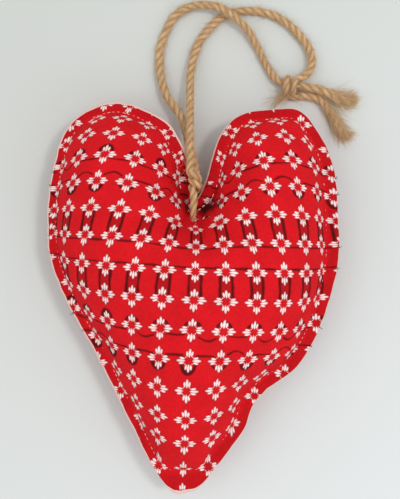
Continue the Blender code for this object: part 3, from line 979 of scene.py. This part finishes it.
# the left strand runs straight out from under the hitch, before its turn is full
left_route = route(
    leg_start(False), BACK_LEG, hitch_turn(HITCH_ANGLE - 180, BACK_LEG_JOINS)[:-1], LEFT_STRAND,
    KNOT_CORE, UPPER_TAIL,
)


def run_along(points):
    """The length from the first point to each one."""
    steps = np.linalg.norm(np.diff(points, axis=0), axis=1)
    return np.concatenate([[0], np.cumsum(steps)])


for name, line in (("right", right_route), ("left", left_route)):
    print(name, "twine, mm:", round(1000 * run_along(line)[-1], 1))


# %% Jute
def jute():
    """Jute, a bast fibre: straw-coloured strands that run along the plies, lighter where
    they are split, with painted shade that makes the grooves browner. Dry and matt, so it is
    rough."""
    made, tree, shader = new_material("twisted jute", 0.8, 0.3)
    place = add_node(tree, "UVMap", uv_map="UVMap").outputs[0]
    painted_groove_shade = add_node(tree, "Attribute", attribute_name="painted_groove_shade").outputs["Fac"]
    stretched = add_node(
        tree, "VectorMath", [place, (22, 1.6, 1)], operation="MULTIPLY"
    ).outputs[0]
    strands = add_node(
        tree, "TexNoise", {"Vector": stretched, "Scale": 1, "Detail": 4}
    ).outputs["Fac"]
    patches = add_node(
        tree, "TexNoise", {"Vector": place, "Scale": 0.9, "Detail": 2}
    ).outputs["Fac"]
    tone = add_node(tree, "Math", [strands, 0.65], operation="MULTIPLY").outputs[0]
    tone = add_node(tree, "Math", [patches, 0.35, tone], operation="MULTIPLY_ADD").outputs[0]
    ramp = add_node(tree, "ValToRGB", {"Fac": tone})
    stops = ramp.color_ramp.elements
    stops[0].position, stops[0].color = 0.36, linear("B08558")
    stops[1].position, stops[1].color = 0.66, linear("E4C8A1")
    stops.new(0.5).color = linear("CFA87D")
    # painted shade: the colour turns darker brown deep in the grooves between the plies
    colour = add_node(
        tree, "Mix", {0: painted_groove_shade, 6: ramp.outputs[0], 7: linear("A67C50")},
        data_type="RGBA",
    ).outputs[2]
    tree.links.new(colour, shader.inputs["Base Color"])
    bump = add_node(tree, "Bump", {"Strength": 0.5, "Distance": 0.00012, "Height": strands})
    tree.links.new(bump.outputs[0], shader.inputs["Normal"])
    shader.inputs["Sheen Weight"].default_value = 0.1
    return made


twine_finish = jute()
# a single fibre is too thin for a pattern, so it has one plain colour
FIBRE_ROUGHNESS = 0.65
fuzz_finish = new_material("loose jute fibre", FIBRE_ROUGHNESS, colour="E0C095")[0]
brush_finish = new_material("frayed jute fibre", FIBRE_ROUGHNESS, colour="DDBA8C")[0]


# %% [markdown]
# A twisted twine's outline is the union of three round plies. Seen along the twine, that
# is a clover leaf, which turns as it goes. One tube whose radius follows the clover gives
# plies with real grooves and no hidden faces inside. A dense cloud of thin loose fibres
# takes away the hard edge, as on real jute.

# %% The twine's surface
PLIES = 3
PLY_LAY = 0.0108  # the length of one full turn of the plies
GROOVE_DEPTH = 0.17  # as a share of the outer radius
RING_STEP = 0.0004
RING_SIDES = 30
CORE_ENDS = 0.0045  # where a tail's plies thin out into the brush
WORN_SPOT = (0.0235, 0.1005, 0.0030)  # the loop is thinner there


def frames_along(points):
    """Unit tangents and two normals at each point. Each normal is the last one with the
    new tangent's share taken out, so the frame doesn't twist."""
    tangent = np.gradient(points, axis=0)
    tangent /= np.linalg.norm(tangent, axis=1)[:, None]
    normal = np.empty_like(tangent)
    n = np.cross(tangent[0], (1, 0, 0))
    for k, t in enumerate(tangent):
        n = n - t * (n @ t)
        n = n / np.linalg.norm(n)
        normal[k] = n
    return tangent, normal, np.cross(tangent, normal)


def clover(angle):
    """The outer radius of three round plies squeezed together, for an outer radius of 1:
    1 - GROOVE_DEPTH * |sin(1.5 * angle)| cubed."""
    return 1 - GROOVE_DEPTH * np.abs(np.sin(PLIES / 2 * angle)) ** 3


def twine_radius(points):
    """Half the twine's thickness. It is less where the hitch and the knot squeeze it and
    where the worn front leg goes into the hole, and more where the tails come apart."""
    def near(spot, reach, power):
        away = np.linalg.norm(points - np.array(spot), axis=1) / reach
        return np.exp(-(away**power))

    hitch = (np.array(HITCH_FOOT) + np.array(HITCH_HEAD)) / 2
    tails = 1 / (1 + np.exp((0.0535 - points[:, 0]) / 0.0015)) * (points[:, 1] < 0.0842)
    return TWINE / 2 * (
        1 - 0.14 * near(hitch, 0.0045, 2) - 0.25 * near(KNOT_CENTRE, 0.0050, 4)
        - 0.42 * near((*TWINE_HOLE, 0.0215), 0.0062, 4) - 0.18 * near(WORN_SPOT, 0.011, 2)
        + 0.16 * tails
    )


def add_twine(name, line, seed):
    """The clover carried along the route, slightly uneven, with its ends drawn shut."""
    length = run_along(line)[-1]
    rings = round(length / RING_STEP) + 1
    points = evenly(line, rings)
    along = np.linspace(0, length, rings)
    _, normal, binormal = frames_along(points)
    angle = np.linspace(0, 2 * np.pi, RING_SIDES, endpoint=False)
    twist = 2 * np.pi * along / PLY_LAY + 0.9 * np.sin(along / 0.017 + seed)
    twist = twist + 0.3 * np.sin(along / 0.0063 + 3 * seed)
    share = clover(angle[None] - twist[:, None])
    uneven = 1 + 0.03 * np.sin(along / 0.0031 + seed) + 0.03 * np.sin(along / 0.0074 + 2 * seed)
    from_end = np.minimum(along / 0.002, (length - along) / CORE_ENDS)
    end = np.minimum(1, np.sqrt(from_end + 0.05))
    radius = (twine_radius(points) * uneven * end)[:, None] * share
    wall = (
        points[:, None]
        + radius[..., None] * np.cos(angle)[None, :, None] * normal[:, None]
        + radius[..., None] * np.sin(angle)[None, :, None] * binormal[:, None]
    ).reshape(-1, 3)
    wall = np.vstack([wall, points[:1], points[-1:]])
    wall[:, 2] = np.maximum(wall[:, 2], TABLE_CLEAR)  # pressed flat where it rests
    r, s = np.meshgrid(np.arange(rings - 1), np.arange(RING_SIDES), indexing="ij")
    n = (s + 1) % RING_SIDES
    quads = np.stack([r * RING_SIDES + s, r * RING_SIDES + n,
                      (r + 1) * RING_SIDES + n, (r + 1) * RING_SIDES + s], -1).reshape(-1, 4)
    around = np.stack([s, s + 1, s + 1, s], -1) / RING_SIDES
    down = along[np.stack([r, r, r + 1, r + 1], -1)] / TWINE
    # the strands run with the plies, so the pattern is turned back by the plies' twist
    around = around - down * TWINE / PLY_LAY
    uv = np.stack([around, down], -1).reshape(-1, 2)
    sides = np.arange(RING_SIDES)
    first = [(len(wall) - 2, (k + 1) % RING_SIDES, k) for k in sides]
    base = (rings - 1) * RING_SIDES
    last = [(len(wall) - 1, base + k, base + (k + 1) % RING_SIDES) for k in sides]
    uv = np.vstack([uv, np.zeros((3 * len(first) + 3 * len(last), 2))])
    made = put_mesh(name, wall, [*quads, *first, *last], twine_finish, "jute_twine", uv=uv)
    # painted shade: how deep each point lies in a groove between the plies, which darkens the
    # jute there
    deep = np.clip((1 - share) / GROOVE_DEPTH, 0, 1).ravel() ** 1.5
    paint(made, "painted_groove_shade", np.append(deep, [0, 0]))
    print(name, rings, "rings")
    return made


right_twine = add_twine("right_twine", right_route, 1)
left_twine = add_twine("left_twine", left_route, 4)


# %% [markdown]
# Loose fibres stand off the twine all along it, and at each cut end the plies come apart
# into a brush. Both are bundles of hairs: a hair is a thin three-sided tube along a bent
# line, all of them made at once as one array.

# %% Fibres
HAIR_RINGS = 6
HAIR_FLOOR = 0.0001  # hairs lie on the table, not in it
LOOSE_FIBRE = 0.00011
FRAYED_FIBRE = 0.00016
DARK_THREAD = 0.00026
FUZZ_PER_MM = 22
ROOT_STEP = 0.0003
FLAT_REACH = 0.011  # round the hitch's foot the fibres lie flat


def add_hairs(name, roots, ways, bends, lengths, thick, finish, slot="jute_twine"):
    """Hair k follows root + way * t + bend * t squared / length for t from 0 to its
    length, as a tube of three sides that gets thinner towards its end."""
    count = len(roots)
    t = np.linspace(0, 1, HAIR_RINGS)[None, :, None] * lengths[:, None, None]
    line = roots[:, None] + ways[:, None] * t + bends[:, None] * t**2 / lengths[:, None, None]
    line[..., 2] = np.maximum(line[..., 2], HAIR_FLOOR)
    tangent = np.gradient(line, axis=1)
    tangent /= np.linalg.norm(tangent, axis=2)[..., None]
    side = np.cross(tangent, np.array([0.31, 0.17, 0.93]))
    side /= np.linalg.norm(side, axis=2)[..., None]
    other = np.cross(tangent, side)
    slim = thick / 2 * np.linspace(1, 0.35, HAIR_RINGS)[None, :, None, None]
    turn = np.arange(3) * 2 * np.pi / 3
    points = line[:, :, None] + slim * (
        np.cos(turn)[:, None] * side[:, :, None] + np.sin(turn)[:, None] * other[:, :, None]
    )
    faces = []
    for r in range(HAIR_RINGS - 1):
        for k in range(3):
            n = (k + 1) % 3
            faces.append((3 * r + k, 3 * r + n, 3 * r + 3 + n, 3 * r + 3 + k))
    faces += [(2, 1, 0), (3 * HAIR_RINGS - 3, 3 * HAIR_RINGS - 2, 3 * HAIR_RINGS - 1)]
    print(name, count)
    faces = many(3 * HAIR_RINGS, faces, count)
    return put_mesh(name, points.reshape(-1, 3), faces, finish, slot)


def unit(vectors):
    """The vectors, each divided by its length."""
    return vectors / np.linalg.norm(vectors, axis=-1)[..., None]


def along_twine(line):
    """Points at small steps along a route, its length, and the frames at the points."""
    length = run_along(line)[-1]
    fine = evenly(line, round(length / ROOT_STEP))
    return fine, length, *frames_along(fine)


def outwards(luck, k, normal, binormal):
    """A random direction across the twine at each of the points k."""
    angle = luck.uniform(0, 2 * np.pi, len(k))[:, None]
    return np.cos(angle) * normal[k] + np.sin(angle) * binormal[k]


def fuzz_on(name, line, hidden, seed):
    """Fibres that leave the twine at a low angle, most of them bent back to it. The
    hidden first stretch, inside and behind the heart, and the hitch have none."""
    luck = np.random.default_rng(seed)
    fine, length, tangent, normal, binormal = along_twine(line)
    count = round(1000 * length * FUZZ_PER_MM)
    k = luck.integers(round(hidden / ROOT_STEP), len(fine) - 4, count)
    from_hitch = np.linalg.norm(fine[k] - np.array(HITCH_FOOT), axis=1) / FLAT_REACH
    k = k[luck.uniform(0, 1, count) > np.exp(-(from_hitch**4))]
    count = len(k)
    out = outwards(luck, k, normal, binormal)
    around = np.cross(tangent[k], out)
    roots = fine[k] + out * (twine_radius(fine)[k] * 0.86)[:, None]
    onward = tangent[k] * luck.choice([-1, 1], count)[:, None]
    lean = np.abs(luck.normal(0.16, 0.2, count))[:, None]
    ways = unit(onward + out * lean + around * luck.normal(0.35, 0.3, (count, 1)))
    bends = out * luck.normal(-0.12, 0.3, (count, 1)) + luck.normal(0, 0.12, (count, 3))
    lengths = np.clip(luck.gamma(4, 0.0006, count), 0.0007, 0.0055)
    return add_hairs(name, roots, ways, bends, lengths, LOOSE_FIBRE, fuzz_finish)


def brush_on(name, line, start, count, spread_out, seed):
    """Fibres of a cut end: they start over the last part of the twine and fan out."""
    luck = np.random.default_rng(seed)
    fine, length, tangent, normal, binormal = along_twine(line)
    back = luck.uniform(0.08, 1, count) ** 1.3
    k = (len(fine) * (1 - start / length * back)).astype(int)
    out = outwards(luck, k, normal, binormal)
    off = np.sqrt(luck.uniform(0, 1, count))[:, None]
    roots = fine[k] + out * off * TWINE * 0.5
    ways = unit(tangent[k] + out * off * spread_out + luck.normal(0, 0.09, (count, 3)))
    bends = luck.normal(0, 0.16, (count, 3)) + out * 0.12
    left = length - k / len(fine) * length
    lengths = left * luck.uniform(0.7, 1.12, count)
    lengths = np.clip(lengths, 0.0015, luck.uniform(0.006, 0.011, count))
    return add_hairs(name, roots, ways, bends, lengths, FRAYED_FIBRE, brush_finish)


right_fuzz = fuzz_on("right_twine_fuzz", right_route, 0.0050, 21)
left_fuzz = fuzz_on("left_twine_fuzz", left_route, 0.0215, 22)
upper_brush = brush_on("upper_tail_brush", left_route, 0.0145, 430, 0.34, 31)
lower_brush = brush_on("lower_tail_brush", right_route, 0.0185, 400, 0.26, 32)


def wisp_on(name, start, way, count, seed):
    """A few splayed fibres that stick out of the knot on the heart's side."""
    luck = np.random.default_rng(seed)
    roots = np.array(start) + luck.normal(0, 0.0006, (count, 3))
    ways = unit(np.array(way) + luck.normal(0, 0.28, (count, 3)))
    bends = luck.normal(0, 0.25, (count, 3)) - [0, 0, 0.35]
    lengths = luck.uniform(0.003, 0.0092, count)
    return add_hairs(name, roots, ways, bends, lengths, FRAYED_FIBRE, brush_finish)


knot_wisp = wisp_on("knot_wisp", (0.0370, 0.0804, 0.0034), (-0.80, -0.50, -0.08), 90, 33)


def thread_ends(name, rows, per_end, seed):
    """The dark threads run out to the raw edge, where their cut ends stick out a little."""
    luck = np.random.default_rng(seed)
    high, rim = front_print[:RIM_POINTS, 1], front_filled[:RIM_POINTS]
    off_cleft = np.abs(rim[:, 0]) > 0.02
    roots, ways = [], []
    for row in rows:
        k = np.flatnonzero(((high > row) != (np.roll(high, -1) > row)) & off_cleft)
        after = (k + 1) % RIM_POINTS
        share = ((row - high[k]) / (high[after] - high[k]))[:, None]
        roots.append(np.repeat(rim[k] + share * (rim[after] - rim[k]), per_end, axis=0))
        ways.append(np.repeat(-inward_from(EDGE)[k], per_end, axis=0))
    roots, ways = np.vstack(roots), np.vstack(ways)
    ways = np.column_stack([ways, np.zeros(len(ways))])
    roots = roots - ways * 0.0003 + luck.normal(0, 0.0001, roots.shape)
    ways = unit(ways + luck.normal(0, 0.35, ways.shape))
    lengths = luck.uniform(0.0007, 0.0014, len(roots))
    finish = new_material("dark cotton thread end", FIBRE_ROUGHNESS, colour="3A0A0A")[0]
    bends = luck.normal(0, 0.3, ways.shape)
    add_hairs(name, roots, ways, bends, lengths, DARK_THREAD, finish, "printed_cotton")


DARK_ROWS = (3.33, 2.65, 0.38, -0.38, -2.65, -3.33)
thread_ends("dark_thread_ends", DARK_ROWS, 4, 41)


# %% Hide the twine's CAD parts
def say_cord(piece, line, length, with_pieces, *nodes):
    """Spaces 400 points along the twine's line, and hides the CAD parts that the twine
    stands in for. The length given is not used.
    """
    path = evenly(line, 400)
    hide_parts(*nodes)


say_cord(
    right_twine, right_route, round(run_along(right_route)[-1], 3),
    [right_fuzz, lower_brush, knot_wisp], "twine_hitch", "twine_right_strand", "twine_lower_tail",
)
say_cord(
    left_twine, left_route, round(run_along(left_route)[-1], 3),
    [left_fuzz, upper_brush], "twine_left_strand", "twine_knot", "twine_upper_tail",
)


# %% [markdown]
# The ornament lies on a plain pale table. The light is soft daylight from windows on
# the right, with a bright ceiling, a pale wall and the room as a fill from elsewhere.

# %% Table and light
def table_top(name, half, far_colour, near_colour):
    """A flat square under the ornament, a little paler towards the lower right: painted
    light, where the windows on the right light the table more.
    """
    corners = [(-half, -half, 0), (half, -half, 0), (half, half, 0), (-half, half, 0)]
    finish, tree, shader = new_material("matt pale table top", 0.9, 0.1)
    place = add_node(tree, "TexCoord").outputs["Object"]
    # painted light: the colour runs from far_colour to the paler near_colour towards the lower
    # right
    slope = add_node(
        tree, "VectorMath", [place, (0.6, -0.8, 0)], operation="DOT_PRODUCT"
    ).outputs["Value"]
    share = add_node(
        tree, "MapRange", {"Value": slope, "From Min": -0.13, "From Max": 0.13}
    ).outputs[0]
    colours = {0: share, 6: linear(far_colour), 7: linear(near_colour)}
    tone = add_node(tree, "Mix", colours, data_type="RGBA").outputs[2]
    tree.links.new(tone, shader.inputs["Base Color"])
    return put_mesh(name, corners, [(0, 1, 2, 3)], finish, None, smooth=False)


def add_window(name, place, size, energy, colour, aim=(0.0, 0.02, 0.02)):
    """A square area light that faces the heart."""
    light = bpy.data.lights.new(name, "AREA")
    light.size = size
    light.energy = energy
    light.color = linear(colour)[:3]
    made = bpy.data.objects.new(name, light)
    made.location = place
    way = np.array(aim) - np.array(place)
    made.rotation_mode = "QUATERNION"
    made.rotation_quaternion = Vector(way).to_track_quat("-Z", "Y")
    scene.collection.objects.link(made)


table_top("table_top", 3.0, "D0D2CF", "E2E5E6")
add_window("window light", (0.44, 0.12, 1.10), 0.17, 3.1, "FFFDFA")
add_window("second window light", (0.42, -0.40, 0.42), 0.40, 0.52, "EEF6FF")
add_window("bright ceiling", (-0.02, 0.06, 1.00), 0.90, 1.2, "FBFDFA")
add_window("bright wall", (-0.46, -0.04, 0.55), 0.60, 0.70, "F8FBFA")
world = bpy.data.worlds.new("room light")
world.use_nodes = True
room = world.node_tree.nodes["Background"]
room.inputs["Color"].default_value = linear("F8FBFA")
room.inputs["Strength"].default_value = 0.68
scene.world = world
